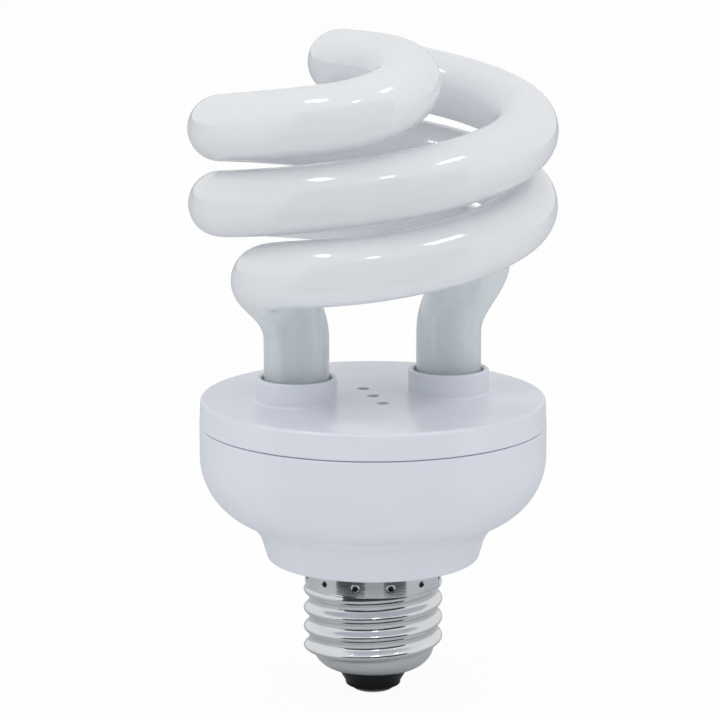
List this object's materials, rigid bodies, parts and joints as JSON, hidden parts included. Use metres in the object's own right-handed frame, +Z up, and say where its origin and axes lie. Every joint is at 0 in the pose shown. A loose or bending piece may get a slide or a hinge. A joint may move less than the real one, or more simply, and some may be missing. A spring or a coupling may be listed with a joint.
{
  "type": "reptile ultraviolet bulb",
  "caption": "Compact fluorescent ultraviolet lamp for a reptile enclosure: a white double-helix tube on a round ballast housing with a medium screw base.",
  "frame": {"origin": "on the lamp's axis at the tip of the solder on the centre contact, the lamp's lowest point", "axes": "+Z up along the lamp's axis from the screw base to the crown of the tube, -Y towards the picture's camera, +X to its right"},
  "size_m": [0.0678, 0.07, 0.1246],
  "materials": {
    "coated_glass": "white phosphor-coated glass, glossy outside",
    "white_plastic": "cool white moulded plastic, satin",
    "cement": "rough white cement",
    "nickel": "bright plated sheet",
    "black_insulator": "glossy black",
    "tin": "dull tinned",
    "solder": "dull solder",
    "board": "brown paper laminate",
    "ferrite": "dark grey, matte",
    "bobbin_plastic": "black moulded",
    "copper": "enamelled copper wire",
    "capacitor_sleeve": "dark shrunk sleeve",
    "film_coat": "red-brown dipped coat",
    "black_epoxy": "moulded epoxy",
    "resistor_coat": "beige lacquer",
    "diode_glass": "orange glass",
    "wire_cover": "white wire covering"
  },
  "bodies": {
    "root": {"spiral_tube": "coated_glass", "tube_cover": "white_plastic", "ballast_housing": "white_plastic", "tube_cement": "cement", "screw_shell": "nickel", "base_insulator": "black_insulator", "centre_contact": "tin", "contact_solder": "solder", "circuit_board": "board", "filament_pins": "tin", "filament_leads": "tin", "choke_core": "ferrite", "choke_bobbin": "bobbin_plastic", "choke_winding": "copper", "drive_toroid": "ferrite", "toroid_windings": "copper", "reservoir_capacitor": "capacitor_sleeve", "resonant_capacitor": "film_coat", "coupling_capacitor": "film_coat", "transistors": "black_epoxy", "rectifier_diodes": "black_epoxy", "resistors": "resistor_coat", "trigger_diode": "diode_glass", "filter_inductor": "ferrite", "fuse_resistor": "resistor_coat", "contact_lead": "wire_cover", "shell_lead": "wire_cover"}
  },
  "joints": []
}
